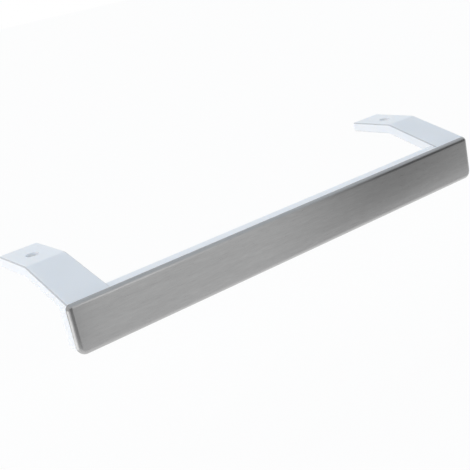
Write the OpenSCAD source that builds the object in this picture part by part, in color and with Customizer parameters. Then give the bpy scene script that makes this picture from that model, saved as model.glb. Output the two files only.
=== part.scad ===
// Door handle: one moulded grip bar with two cranked screw feet, and a folded metal front trim.
// X runs along the bar, the trim faces -Y and the screw feet reach back along +Y.
// The origin lies midway between the two screw holes, level with the seats of the feet.

/* [Grip bar] */
// Length of the bar from end to end
bar_length = 322; // [240:1:480]
// Height of the bar's front
bar_height = 30; // [26:0.5:45]
// Depth of the bar, from the trim's face to the back
bar_depth = 11.4; // [10:0.1:16]
// Radius of the two upper corners, seen from the front
upper_corner = 3; // [2:0.1:4]
// Radius of the two lower corners, seen from the front
lower_corner = 5.5; // [4:0.1:8]

/* [Front trim] */
// Depth of the trim, from its face to the rim that meets the moulding
trim_depth = 2.9; // [2.8:0.1:3.6]
// Outer radius of the trim's folded edge
trim_fold = 2.7; // [2:0.1:2.7]
// Thickness of the trim's sheet
trim_sheet = 0.7; // [0.5:0.1:1]
// Gap between the trim's fold and the moulded rim inside it
trim_gap = 0.1; // [0.05:0.05:0.3]

/* [Arms] */
// Distance from the end of the bar to the outer side of an arm
arm_inset = 1; // [0.5:0.1:4]
// Width of an arm where it leaves the bar
arm_root_width = 27.4; // [22:0.1:36]
// Width of an arm at its bend
arm_bend_width = 26.1; // [22:0.1:36]
// Width of a foot at its tip
arm_tip_width = 25.5; // [22:0.1:36]
// Depth of an arm's sides
arm_depth = 6.5; // [5:0.1:9]
// Distance from the trim's rim back to the bend
slope_run = 44.5; // [30:0.1:70]
// Height of the feet above the top of the bar
rise = 14; // [8:0.1:24]
// Length of a foot, from the bend to its tip
foot_length = 38.2; // [30:0.1:60]
// Radius of the bend on the top of an arm
bend_round = 9; // [7:0.5:12]

/* [Screw seats] */
// Distance from a foot's tip to its screw hole
hole_from_tip = 21.1; // [14:0.1:24]
// Distance from the outer side of an arm to its screw hole
hole_from_side = 12.7; // [10:0.1:16]
// Diameter of the screw hole
screw_hole = 4.6; // [3.5:0.1:5.5]
// Diameter of the recess for the screw's head
head_recess = 8; // [7:0.1:9]
// Depth of the recess for the screw's head
head_depth = 2.8; // [2:0.1:3.4]
// Diameter of the boss round the screw hole
boss = 12.4; // [11:0.1:14]

/* [Moulding] */
// Thickness of the outer walls
wall = 2.4; // [1.8:0.1:2.8]
// Thickness of the ribs
rib = 1.4; // [1:0.1:2]
// Distance between the ribs behind the trim
bar_rib_pitch = 20; // [12:1:40]
// Distance between the ribs under an arm
arm_rib_pitch = 14; // [10:0.5:20]
// Radius of the outer edges that the hand meets
edge_round = 1; // [0.5:0.1:1.2]
// Radius of the lower edges of the arms
rim_round = 0.5; // [0.3:0.1:0.8]

/* [Hidden] */

white = [0.9, 0.92, 0.95];
steel = [0.62, 0.63, 0.64];

// Segments along a quarter turn of a small edge, and of a corner of the bar
edge_steps = 6;
corner_steps = 10;
$fn = 48;
// Smallest corner that an inset outline keeps
least_round = 0.05;
// How far a cutting shape runs past the face that it opens
overrun = 1;

bar_top = arm_depth - rise;
bend_y = hole_from_tip - foot_length;
rim_y = bend_y - slope_run;
front_y = rim_y - trim_depth;
back_y = front_y + bar_depth;
end_x = bar_length / 2;
arm_x = end_x - arm_inset;
hole_x = arm_x - hole_from_side;
slope_angle = atan(rise / slope_run);
// Radius of the trim's fold, kept within the depth of its outside
fold = min(trim_fold, trim_depth - trim_gap - least_round);

// Points along an arc, both ends included
function arc(centre, radius, from, to, steps) = [
    for (i = [0:steps])
        let (angle = from + (to - from) * i / steps)
            centre + radius * [cos(angle), sin(angle)]
];

// Outline of the bar seen from the front, drawn in by an inset, as points in X and Z
function bar_outline(inset) =
    let (
        side = end_x - inset,
        top = bar_top - inset,
        bottom = bar_top - bar_height + inset,
        upper = max(upper_corner - inset, least_round),
        lower = max(lower_corner - inset, least_round)
    )
    concat(
        arc([side - lower, bottom + lower], lower, -90, 0, corner_steps),
        arc([side - upper, top - upper], upper, 0, 90, corner_steps),
        arc([upper - side, top - upper], upper, 90, 180, corner_steps),
        arc([lower - side, bottom + lower], lower, 180, 270, corner_steps)
    );

// The same outline set at a depth
function bar_ring(inset, y) = [for (p = bar_outline(inset)) [p[0], y, p[1]]];

// Rings of a plate whose front edge is rounded, from its face back to a depth
function rounded_plate(inset, face_y, radius, end_y) = concat(
    [
        for (i = [0:edge_steps])
            let (angle = 90 * i / edge_steps)
                bar_ring(inset + radius * (1 - sin(angle)), face_y + radius * (1 - cos(angle)))
    ],
    [bar_ring(inset, end_y)]
);

// Width of an arm at a distance back, drawn in evenly from root to bend and from bend to tip
function arm_width(y) = y < bend_y
    ? arm_root_width + (arm_bend_width - arm_root_width) * (y - rim_y) / slope_run
    : arm_bend_width + (arm_tip_width - arm_bend_width) * (y - bend_y) / foot_length;

// Places along an arm's top face, each with its distance back, height, angle and inset
bend_reach = bend_round * tan(slope_angle / 2);
function arm_root() = [rim_y, bar_top, slope_angle, 0];
function arm_bend() = [
    for (i = [0:edge_steps])
        let (angle = slope_angle * (1 - i / edge_steps))
            [bend_y + bend_reach - bend_round * sin(angle), arm_depth - bend_round * (1 - cos(angle)), angle, 0]
];
function arm_tip() = [
    for (i = [0:edge_steps])
        let (angle = 90 * i / edge_steps)
            [hole_from_tip - edge_round * (1 - sin(angle)), arm_depth, 0, edge_round * (1 - cos(angle))]
];

// Turns a point of a cross-section, across and below the top face, into a point of the arm
function on_arm(place, across, below) = [
    across - arm_x,
    place[0] + below * sin(place[2]),
    place[1] - below * cos(place[2])
];

// Ring of an arm's outside at one place, with rounded corners
function arm_ring(place) =
    let (
        inset = place[3],
        upper = max(edge_round - inset, least_round),
        lower = max(rim_round - inset, least_round),
        left = inset,
        right = arm_width(place[0]) - inset,
        top = inset,
        bottom = arm_depth - inset
    )
    [
        for (p = concat(
            arc([left + upper, top + upper], upper, 270, 180, edge_steps),
            arc([left + lower, bottom - lower], lower, 180, 90, edge_steps),
            arc([right - lower, bottom - lower], lower, 90, 0, edge_steps),
            arc([right - upper, top + upper], upper, 360, 270, edge_steps)
        ))
            on_arm(place, p[0], p[1])
    ];

// Side outline of the hollow under an arm, as distances back and heights
function hollow_side() =
    let (
        end_y = hole_from_tip - wall,
        low = bar_top - bar_height,
        start = bar_top + (back_y - rim_y) * tan(slope_angle) - wall / cos(slope_angle)
    )
    concat(
        [[end_y, low], [back_y, low], [back_y, start]],
        [for (place = arm_bend()) [place[0] + wall * sin(place[2]), place[1] - wall * cos(place[2])]],
        [[end_y, arm_depth - wall]]
    );

// Plan outline of the hollow under an arm
function hollow_plan() =
    let (outer = wall - arm_x, end_y = hole_from_tip - wall)
    concat(
        [[outer, end_y], [outer, back_y]],
        [for (y = [back_y, bend_y, end_y]) [arm_width(y) - wall - arm_x, y]]
    );

// Solid through a row of rings that have the same number of points
module skin(rings) {
    count = len(rings[0]);
    last = len(rings) - 1;
    sides = [
        for (k = [0:last - 1], i = [0:count - 1])
            let (j = (i + 1) % count)
                each [
                    [k * count + i, k * count + j, (k + 1) * count + j],
                    [k * count + i, (k + 1) * count + j, (k + 1) * count + i]
                ]
    ];
    first_cap = [for (i = [count - 1:-1:0]) i];
    last_cap = [for (i = [0:count - 1]) last * count + i];
    polyhedron([for (ring = rings) each ring], concat([first_cap, last_cap], sides));
}

// Outside of one arm, from inside the bar to the foot's tip
module arm() {
    skin([for (place = concat([arm_root()], arm_bend(), arm_tip())) arm_ring(place)]);
}

// Ribs and boss that stay in the hollow under an arm
module arm_ribs() {
    hole = [-hole_x, 0, 0];
    tall = 2 * (arm_depth + rise);
    translate(hole) cylinder(h = tall, d = boss, center = true);
    translate(hole + [0, back_y, 0] / 2) cube([rib, foot_length - back_y + overrun, tall], center = true);
    for (y = [0:-arm_rib_pitch:back_y + arm_rib_pitch / 2])
        translate([-hole_x, y, 0]) cube([arm_root_width, rib, tall], center = true);
}

// Hollow under one arm, open below
module arm_hollow() {
    tall = 2 * (rise + bar_height);
    difference() {
        intersection() {
            translate([-arm_x, 0, 0])
                rotate([90, 0, 90])
                    linear_extrude(arm_root_width) polygon(hollow_side());
            translate([0, 0, -tall / 2])
                linear_extrude(tall) polygon(hollow_plan());
        }
        arm_ribs();
    }
}

// Screw hole of one foot, with the recess for the screw's head
module screw_seat() {
    translate([-hole_x, 0, -overrun]) cylinder(h = arm_depth, d = screw_hole);
    translate([-hole_x, 0, arm_depth - head_depth])
        cylinder(h = head_depth + overrun, d = head_recess);
}

// Bar behind the trim, with its back edge rounded
module bar_block() {
    skin(concat(
        [bar_ring(0, rim_y)],
        [
            for (i = [0:edge_steps])
                let (angle = 90 * i / edge_steps)
                    bar_ring(edge_round * (1 - cos(angle)), back_y - edge_round * (1 - sin(angle)))
        ]
    ));
}

// Raised seat that fills the inside of the trim
module trim_seat() {
    inset = trim_sheet + trim_gap;
    skin(rounded_plate(inset, front_y + trim_sheet, fold - inset, rim_y + overrun));
}

// Hollow inside the bar, open towards the trim, with its ribs left standing
module bar_hollow() {
    bay = bar_height - 2 * wall;
    middle = bar_top - bar_height / 2;
    ribs = floor((end_x - wall - rib) / bar_rib_pitch);
    difference() {
        translate([0, back_y - wall, 0])
            rotate([90, 0, 0])
                linear_extrude(bar_depth) polygon(bar_outline(wall));
        translate([0, front_y, middle]) cube([bar_length, 2 * bar_depth, rib], center = true);
        for (i = [-ribs:ribs])
            translate([i * bar_rib_pitch, front_y, middle]) cube([rib, 2 * bar_depth, bay + wall], center = true);
    }
}

// One moulding: the bar, its two arms and their screw feet
module handle_body() {
    color(white)
        difference() {
            union() {
                bar_block();
                trim_seat();
                arm();
                mirror([1, 0, 0]) arm();
            }
            bar_hollow();
            for (side = [0, 1])
                mirror([side, 0, 0]) {
                    arm_hollow();
                    screw_seat();
                }
        }
}

// Folded sheet over the front of the bar
module front_trim() {
    color(steel)
        difference() {
            skin(rounded_plate(0, front_y, fold, rim_y - trim_gap));
            skin(rounded_plate(trim_sheet, front_y + trim_sheet, fold - trim_sheet, rim_y + overrun));
        }
}

handle_body();
front_trim();
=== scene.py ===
# Looks of a refrigerator door handle: a white moulding with a brushed metal trim over the front of its bar.
# X runs along the bar, the trim faces -Y and the screw feet reach back along +Y; lengths are in metres.
import math

import bpy
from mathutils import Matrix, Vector


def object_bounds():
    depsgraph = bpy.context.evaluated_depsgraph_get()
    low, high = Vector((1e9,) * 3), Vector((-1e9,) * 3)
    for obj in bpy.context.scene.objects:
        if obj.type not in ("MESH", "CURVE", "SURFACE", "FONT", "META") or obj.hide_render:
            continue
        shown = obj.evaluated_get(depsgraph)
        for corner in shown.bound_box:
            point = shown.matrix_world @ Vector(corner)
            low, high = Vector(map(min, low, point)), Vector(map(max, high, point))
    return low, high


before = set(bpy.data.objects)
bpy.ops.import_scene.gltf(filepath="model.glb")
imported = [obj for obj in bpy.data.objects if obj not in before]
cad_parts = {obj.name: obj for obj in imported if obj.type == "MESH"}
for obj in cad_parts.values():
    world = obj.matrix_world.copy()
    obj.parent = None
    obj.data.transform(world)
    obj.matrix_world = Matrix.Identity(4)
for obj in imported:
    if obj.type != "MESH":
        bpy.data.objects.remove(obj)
cad_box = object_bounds()

MM = 0.001

# End, bottom and top of the CAD part
END_X = cad_box[1][0]
BOTTOM_Z = cad_box[0][2]
TOP_Z = cad_box[1][2]

# Camera at the photograph's viewing angle, with its turns in degrees; the image is 470 pixels square
CAMERA_LENS = 68.87
CAMERA_SENSOR = 36.0
CAMERA_NEAREST = 10 * MM
CAMERA_PLACE = (-325.99 * MM, -483.08 * MM, 151.96 * MM)
CAMERA_TURN = (72.037, 11.279, -37.123)

# Values of a noise between which a colour changes
NOISE_LOW = 0.3
NOISE_HIGH = 0.7

BLACK = (0, 0, 0, 1)
WHITE = (1, 1, 1, 1)

# White plastic, with the scale of each noise in features a metre
PLASTIC_DARKER = (0.785, 0.815, 0.843)
PLASTIC_PALER = (0.815, 0.838, 0.86)
PLASTIC_ROUGHNESS = (0.26, 0.4)
PLASTIC_IOR = 1.47
PLASTIC_SPECULAR = 0.42
CLOUD_SCALE = 28
WAVE_SCALE = 90
WAVE_DEPTH = 0.03 * MM
GRAIN_SCALE = 2600
GRAIN_DEPTH = 0.004 * MM

# Light that goes into the plastic: its share, its depth, and the parts of that depth in red, green and blue
INNER_SHARE = 0.5
INNER_DEPTH = 2.5 * MM
INNER_PARTS = (1.0, 0.9, 0.8)

# Painted shade: how much darker the colour of the rounded long edges of the arms is made
EDGE_PAINTED_SHADE = 0.38
# Product of a normal's X and Z where this shade starts, and where it is full
EDGE_TURN_START = 0.15
EDGE_TURN_END = 0.45
# Height just below the bar's top where it starts, and the rise over which it comes in
EDGE_LOWEST = TOP_Z - 15 * MM
EDGE_FADE = 1 * MM

# Painted light: paler colour inside the screw holes, below the rims of their recesses, that lightens the
# shade in them
HOLE_X = END_X - 13.7 * MM
HOLE_REACH = 4.1 * MM
HOLE_TOP = TOP_Z - 0.3 * MM
HOLE_PAINTED_LIGHT_COLOUR = (0.87, 0.885, 0.90)

# Brushed sheet, with long fine lines and wider streaks that are stretched along the bar
METAL_DARKER = 0.300
METAL_PALER = 0.404
METAL_ROUGHNESS = (0.24, 0.34)
METAL_ANISOTROPY = 0.6
LINE_STRETCH = (0.03, 1, 1)
LINE_SCALE = 4200
LINE_DEPTH = 0.006 * MM
STREAK_STRETCH = (0.05, 1, 1)
STREAK_SCALE = 420
STREAK_SHARE = 0.3

# Slight backward curve of the trim's face along its lower edge
TRIM_BEND_START = BOTTOM_Z + 11.5 * MM
TRIM_BEND_WIDTH = 10 * MM
TRIM_BEND_DEPTH = 0.35 * MM

# Floor, and the share of plain white in it where it is seen
FLOOR_Z = BOTTOM_Z - 62.5 * MM
FLOOR_SIZE = 12.0
FLOOR_COLOUR = (0.80, 0.80, 0.80)
FLOOR_ROUGHNESS = 0.9
FLOOR_SHOWN = 0.93

# Light of the sky at the horizon and overhead, and how much brighter it gets towards the back
SKY_LOW = (1.0, 1.0, 1.0)
SKY_HIGH = (0.70, 0.775, 0.865)
SKY_TILT = 0.52

# Part of a card's height over which its colour changes
CARD_LOW_PART = 0.2

# Soft lamp low at the left, with its power in watts
LAMP_PLACE = (-2.5, 0.1, 0.3)
LAMP_SIZE = (1.2, 0.8)
LAMP_POWER = 17.5
LAMP_COLOUR = (1.0, 0.90, 0.84)


def grey(level):
    """Grey of a level, as red, green and blue."""
    return (level, level, level)


def new_material(name):
    """An empty node material and its node tree."""
    material = bpy.data.materials.new(name)
    material.use_nodes = True
    material.node_tree.nodes.clear()
    return material, material.node_tree


def show_surface(tree, shader):
    """Makes a shader the surface of a material."""
    output = tree.nodes.new("ShaderNodeOutputMaterial")
    tree.links.new(shader, output.inputs["Surface"])


def feed(tree, socket, value):
    """Links an output to an input socket, or sets the socket to a number or a colour."""
    if isinstance(value, bpy.types.NodeSocket):
        tree.links.new(value, socket)
    else:
        socket.default_value = value


def plain_math(tree, operation, first, second=0.0, third=0.0):
    """Result of a math node whose inputs are outputs or numbers."""
    node = tree.nodes.new("ShaderNodeMath")
    node.operation = operation
    for socket, value in zip(node.inputs, (first, second, third)):
        feed(tree, socket, value)
    return node.outputs[0]


def parts_of(tree, vector):
    """The outputs X, Y and Z of a vector."""
    node = tree.nodes.new("ShaderNodeSeparateXYZ")
    tree.links.new(vector, node.inputs["Vector"])
    return node.outputs


def place_in_part(tree, stretch=(1, 1, 1)):
    """Position in the part's frame, scaled along each axis."""
    coords = tree.nodes.new("ShaderNodeTexCoord")
    mapping = tree.nodes.new("ShaderNodeMapping")
    mapping.inputs["Scale"].default_value = stretch
    tree.links.new(coords.outputs["Object"], mapping.inputs["Vector"])
    return mapping.outputs["Vector"]


def noise(tree, vector, scale, detail, roughness=0.5):
    """Noise from about 0 to 1 at a scale in features a metre."""
    node = tree.nodes.new("ShaderNodeTexNoise")
    node.inputs["Scale"].default_value = scale
    node.inputs["Detail"].default_value = detail
    node.inputs["Roughness"].default_value = roughness
    tree.links.new(vector, node.inputs["Vector"])
    return node.outputs["Fac"]


def ramp(tree, value, start, end, low, high):
    """Colour along a value, from low at the start to high at the end."""
    node = tree.nodes.new("ShaderNodeValToRGB")
    elements = node.color_ramp.elements
    elements[0].position = start
    elements[0].color = (*low, 1)
    elements[1].position = end
    elements[1].color = (*high, 1)
    tree.links.new(value, node.inputs["Fac"])
    return node.outputs["Color"]


def spread(tree, value, low, high):
    """Turns a value from 0 to 1 into one from low to high."""
    node = tree.nodes.new("ShaderNodeMapRange")
    node.inputs["To Min"].default_value = low
    node.inputs["To Max"].default_value = high
    tree.links.new(value, node.inputs["Value"])
    return node.outputs["Result"]


def fade_between(tree, value, start, end, low, high):
    """Turns a value smoothly from low at the start to high at the end."""
    node = tree.nodes.new("ShaderNodeMapRange")
    node.interpolation_type = "SMOOTHSTEP"
    node.inputs["From Min"].default_value = start
    node.inputs["From Max"].default_value = end
    node.inputs["To Min"].default_value = low
    node.inputs["To Max"].default_value = high
    tree.links.new(value, node.inputs["Value"])
    return node.outputs["Result"]


def mixed(tree, kind, share, first, second):
    """Mix of two values of a kind, with a share of the second one."""
    node = tree.nodes.new("ShaderNodeMix")
    node.data_type = kind
    feed(tree, node.inputs["Factor"], share)
    feed(tree, node.inputs["A"], first)
    feed(tree, node.inputs["B"], second)
    return node.outputs["Result"]


def mixed_shaders(tree, share, first, second):
    """Mix of two shaders, with a share of the second one."""
    node = tree.nodes.new("ShaderNodeMixShader")
    tree.links.new(share, node.inputs[0])
    tree.links.new(first, node.inputs[1])
    tree.links.new(second, node.inputs[2])
    return node.outputs[0]


def bump(tree, height, distance, under=None):
    """Relief of a given depth in metres, on top of another one."""
    node = tree.nodes.new("ShaderNodeBump")
    node.inputs["Strength"].default_value = 1.0
    node.inputs["Distance"].default_value = distance
    tree.links.new(height, node.inputs["Height"])
    if under is not None:
        tree.links.new(under, node.inputs["Normal"])
    return node.outputs["Normal"]


def arm_edge_painted_shade(tree, here):
    """Painted shade, as how much darker a place's colour is made: the full edge shade on the rounded long
    edges of the arms, and 0 on flat faces.

    The normal of such an edge has both an X and a Z part, unlike that of a flat face.
    """
    geometry = tree.nodes.new("ShaderNodeNewGeometry")
    facing = parts_of(tree, geometry.outputs["Normal"])
    turn = plain_math(tree, "ABSOLUTE", plain_math(tree, "MULTIPLY", facing["X"], facing["Z"]))
    shade = fade_between(tree, turn, EDGE_TURN_START, EDGE_TURN_END, 0, EDGE_PAINTED_SHADE)
    height = parts_of(tree, here)["Z"]
    above = fade_between(tree, height, EDGE_LOWEST, EDGE_LOWEST + EDGE_FADE, 0, 1)
    return plain_math(tree, "MULTIPLY", shade, above)


def painted_light_in_screw_holes(tree, here):
    """1 inside the screw holes of both feet, where painted light makes the colour paler, and 0 elsewhere."""
    place = parts_of(tree, here)
    across = plain_math(tree, "SUBTRACT", plain_math(tree, "ABSOLUTE", place["X"]), HOLE_X)
    square = plain_math(tree, "MULTIPLY", across, across)
    square = plain_math(tree, "MULTIPLY_ADD", place["Y"], place["Y"], square)
    near = plain_math(tree, "LESS_THAN", plain_math(tree, "SQRT", square), HOLE_REACH)
    below = plain_math(tree, "LESS_THAN", place["Z"], HOLE_TOP)
    return plain_math(tree, "MULTIPLY", near, below)


def white_moulding():
    """Glossy white plastic, faintly wavy and finely grained, with painted shade on the arm edges and painted
    light inside the screw holes.
    """
    material, tree = new_material("white_moulding_finish")
    shader = tree.nodes.new("ShaderNodeBsdfPrincipled")
    here = place_in_part(tree)
    clouds = noise(tree, here, CLOUD_SCALE, detail=3)
    colour = ramp(tree, clouds, NOISE_LOW, NOISE_HIGH, PLASTIC_DARKER, PLASTIC_PALER)
    # Painted shade: the colour of the arm edges is darkened towards black
    colour = mixed(tree, "RGBA", arm_edge_painted_shade(tree, here), colour, BLACK)
    # Painted light: the inside of the screw holes gets a paler colour
    colour = mixed(tree, "RGBA", painted_light_in_screw_holes(tree, here), colour, (*HOLE_PAINTED_LIGHT_COLOUR, 1))
    tree.links.new(colour, shader.inputs["Base Color"])
    shader.inputs["Subsurface Weight"].default_value = INNER_SHARE
    shader.inputs["Subsurface Radius"].default_value = INNER_PARTS
    shader.inputs["Subsurface Scale"].default_value = INNER_DEPTH
    grain = noise(tree, here, GRAIN_SCALE, detail=2)
    tree.links.new(spread(tree, grain, *PLASTIC_ROUGHNESS), shader.inputs["Roughness"])
    waves = noise(tree, here, WAVE_SCALE, detail=1)
    relief = bump(tree, grain, GRAIN_DEPTH, under=bump(tree, waves, WAVE_DEPTH))
    tree.links.new(relief, shader.inputs["Normal"])
    shader.inputs["IOR"].default_value = PLASTIC_IOR
    shader.inputs["Specular IOR Level"].default_value = PLASTIC_SPECULAR
    show_surface(tree, shader.outputs["BSDF"])
    return material


def trim_crown(tree):
    """Relief that makes the trim's face curve back along its lower edge."""
    height = parts_of(tree, place_in_part(tree))["Z"]
    drop = plain_math(tree, "MAXIMUM", plain_math(tree, "SUBTRACT", TRIM_BEND_START, height), 0)
    drop = plain_math(tree, "DIVIDE", drop, TRIM_BEND_WIDTH)
    return bump(tree, plain_math(tree, "MULTIPLY", drop, drop), -TRIM_BEND_DEPTH)


def brushed_metal():
    """Sheet metal brushed along the bar, with long fine lines and faint wider streaks."""
    material, tree = new_material("brushed_trim_finish")
    shader = tree.nodes.new("ShaderNodeBsdfPrincipled")
    lines = noise(tree, place_in_part(tree, LINE_STRETCH), LINE_SCALE, detail=3, roughness=0.7)
    streaks = noise(tree, place_in_part(tree, STREAK_STRETCH), STREAK_SCALE, detail=3, roughness=0.6)
    tone = mixed(tree, "FLOAT", STREAK_SHARE, lines, streaks)
    colour = ramp(tree, tone, NOISE_LOW, NOISE_HIGH, grey(METAL_DARKER), grey(METAL_PALER))
    tree.links.new(colour, shader.inputs["Base Color"])
    tree.links.new(spread(tree, lines, *METAL_ROUGHNESS), shader.inputs["Roughness"])
    relief = bump(tree, lines, LINE_DEPTH, under=trim_crown(tree))
    tree.links.new(relief, shader.inputs["Normal"])
    tangent = tree.nodes.new("ShaderNodeTangent")
    tangent.direction_type = "RADIAL"
    tangent.axis = "X"
    tree.links.new(tangent.outputs["Tangent"], shader.inputs["Tangent"])
    shader.inputs["Metallic"].default_value = 1.0
    shader.inputs["Anisotropic"].default_value = METAL_ANISOTROPY
    show_surface(tree, shader.outputs["BSDF"])
    return material


def finish_node(name, material):
    """Gives a CAD node its finish."""
    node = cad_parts[name]
    node.data.materials.clear()
    node.data.materials.append(material)


def shown_or_mirrored(tree):
    """1 for what the camera sees directly, in a reflection or through glass, and 0 for other light."""
    path = tree.nodes.new("ShaderNodeLightPath")
    shown = path.outputs["Is Camera Ray"]
    for name in ("Is Glossy Ray", "Is Transmission Ray"):
        shown = plain_math(tree, "MAXIMUM", shown, path.outputs[name])
    return shown


def make_floor():
    """Plain pale floor that looks white, keeps a faint shadow and is clear from below."""
    bpy.ops.mesh.primitive_plane_add(size=FLOOR_SIZE, location=(0, 0, FLOOR_Z))
    floor = bpy.context.object
    floor.name = "floor"
    material, tree = new_material("pale_floor")
    matt = tree.nodes.new("ShaderNodeBsdfPrincipled")
    matt.inputs["Base Color"].default_value = (*FLOOR_COLOUR, 1)
    matt.inputs["Roughness"].default_value = FLOOR_ROUGHNESS
    white = tree.nodes.new("ShaderNodeEmission")
    white_share = plain_math(tree, "MULTIPLY", shown_or_mirrored(tree), FLOOR_SHOWN)
    above = mixed_shaders(tree, white_share, matt.outputs["BSDF"], white.outputs["Emission"])
    geometry = tree.nodes.new("ShaderNodeNewGeometry")
    clear = tree.nodes.new("ShaderNodeBsdfTransparent")
    show_surface(tree, mixed_shaders(tree, geometry.outputs["Backfacing"], above, clear.outputs["BSDF"]))
    floor.data.materials.append(material)


def make_world():
    """Pale light, bluer overhead and brighter behind the part, and white where it is seen."""
    world = bpy.data.worlds.new("studio")
    bpy.context.scene.world = world
    world.use_nodes = True
    tree = world.node_tree
    tree.nodes.clear()
    coords = tree.nodes.new("ShaderNodeTexCoord")
    direction = parts_of(tree, coords.outputs["Generated"])
    light = tree.nodes.new("ShaderNodeBackground")
    tree.links.new(ramp(tree, direction["Z"], 0, 1, SKY_LOW, SKY_HIGH), light.inputs["Color"])
    level = plain_math(tree, "MULTIPLY_ADD", direction["Y"], SKY_TILT, 1)
    tree.links.new(level, light.inputs["Strength"])
    seen = tree.nodes.new("ShaderNodeBackground")
    seen.inputs["Color"].default_value = WHITE
    output = tree.nodes.new("ShaderNodeOutputWorld")
    sky = mixed_shaders(tree, shown_or_mirrored(tree), light.outputs[0], seen.outputs[0])
    tree.links.new(sky, output.inputs["Surface"])


def mirror_card(name, place, turn, size, fade, low, high, top=(1.1, 1.2), top_rise=0):
    """Card that only reflections show, turned by degrees.

    It fades in over a part of its width from its left edge, and fades out upwards between the two parts
    of its height in top, which rise by top_rise from edge to edge. Without them nothing fades out upwards.
    Its colour goes from low to high over the lowest part of its height.
    """
    bpy.ops.mesh.primitive_plane_add(size=1, location=place, rotation=[math.radians(angle) for angle in turn])
    card = bpy.context.object
    card.name = name
    card.scale = (*size, 1)
    material, tree = new_material(name)
    coords = tree.nodes.new("ShaderNodeTexCoord")
    parts = parts_of(tree, coords.outputs["Generated"])
    side_part = fade_between(tree, parts["X"], 0, fade, 0, 1)
    level = plain_math(tree, "MULTIPLY_ADD", parts["X"], -top_rise, parts["Y"])
    top_part = fade_between(tree, level, *top, 1, 0)
    shown = tree.nodes.new("ShaderNodeEmission")
    tree.links.new(ramp(tree, parts["Y"], 0, CARD_LOW_PART, low, high), shown.inputs["Color"])
    clear = tree.nodes.new("ShaderNodeBsdfTransparent")
    share = plain_math(tree, "MULTIPLY", side_part, top_part)
    show_surface(tree, mixed_shaders(tree, share, clear.outputs["BSDF"], shown.outputs["Emission"]))
    card.data.materials.append(material)
    card.visible_camera = False
    card.visible_diffuse = False
    card.visible_shadow = False
    card.visible_transmission = False


def make_cards():
    """Dark cards in front of both ends, bright ones low down and farther in front, and a pale ceiling."""
    mirror_card("card_right", place=(0.408, -0.2635, 0.1), turn=(90, 0, -20.4), size=(0.9, 0.4), fade=0.3,
                low=grey(0.62), high=grey(0.09), top=(0.25, 0.55), top_rise=0.8)
    mirror_card("card_camera", place=(-0.25, -0.20, 0.0), turn=(90, 0, 0), size=(0.28, 0.2), fade=0.4,
                low=grey(0.32), high=grey(0.32), top=(0.8, 1.0))
    mirror_card("card_under", place=(0.05, -0.02, FLOOR_Z + 3 * MM), turn=(0, 0, 0), size=(0.6, 0.22),
                fade=0.02, low=grey(1.35), high=grey(1.35))
    mirror_card("card_left", place=(-0.38, -0.02, FLOOR_Z + 4 * MM), turn=(0, 0, 0), size=(0.3, 0.22),
                fade=0.02, low=grey(0.5), high=grey(2.3))
    mirror_card("card_front", place=(0.08, -0.6, 0.16), turn=(90, 0, 180), size=(0.44, 0.12), fade=0.35,
                low=grey(2.4), high=grey(2.4))
    mirror_card("card_ceiling", place=(0.4, 0.2, 1.0), turn=(0, 0, 0), size=(2.6, 2.0), fade=0.2,
                low=(0.88, 0.94, 1.0), high=(0.88, 0.94, 1.0), top=(0.8, 1.0))


def make_lamp():
    """Large soft lamp aimed at the part, which no reflection shows."""
    data = bpy.data.lights.new("left_lamp", "AREA")
    data.shape = "RECTANGLE"
    data.size, data.size_y = LAMP_SIZE
    data.energy = LAMP_POWER
    data.color = LAMP_COLOUR
    lamp = bpy.data.objects.new("left_lamp", data)
    lamp.visible_glossy = False
    bpy.context.scene.collection.objects.link(lamp)
    lamp.location = LAMP_PLACE
    lamp.rotation_mode = "QUATERNION"
    lamp.rotation_quaternion = (-Vector(LAMP_PLACE)).to_track_quat("-Z", "Y")


def make_camera():
    """Camera that sees the part as the photograph does."""
    data = bpy.data.cameras.new("camera")
    data.lens = CAMERA_LENS
    data.sensor_width = CAMERA_SENSOR
    data.clip_start = CAMERA_NEAREST
    camera = bpy.data.objects.new("camera", data)
    bpy.context.scene.collection.objects.link(camera)
    camera.location = CAMERA_PLACE
    camera.rotation_euler = [math.radians(turn) for turn in CAMERA_TURN]
    bpy.context.scene.camera = camera


make_camera()
make_world()
make_floor()
make_cards()
make_lamp()
finish_node("handle_body", white_moulding())
finish_node("front_trim", brushed_metal())
bpy.context.scene.view_settings.view_transform = "Standard"
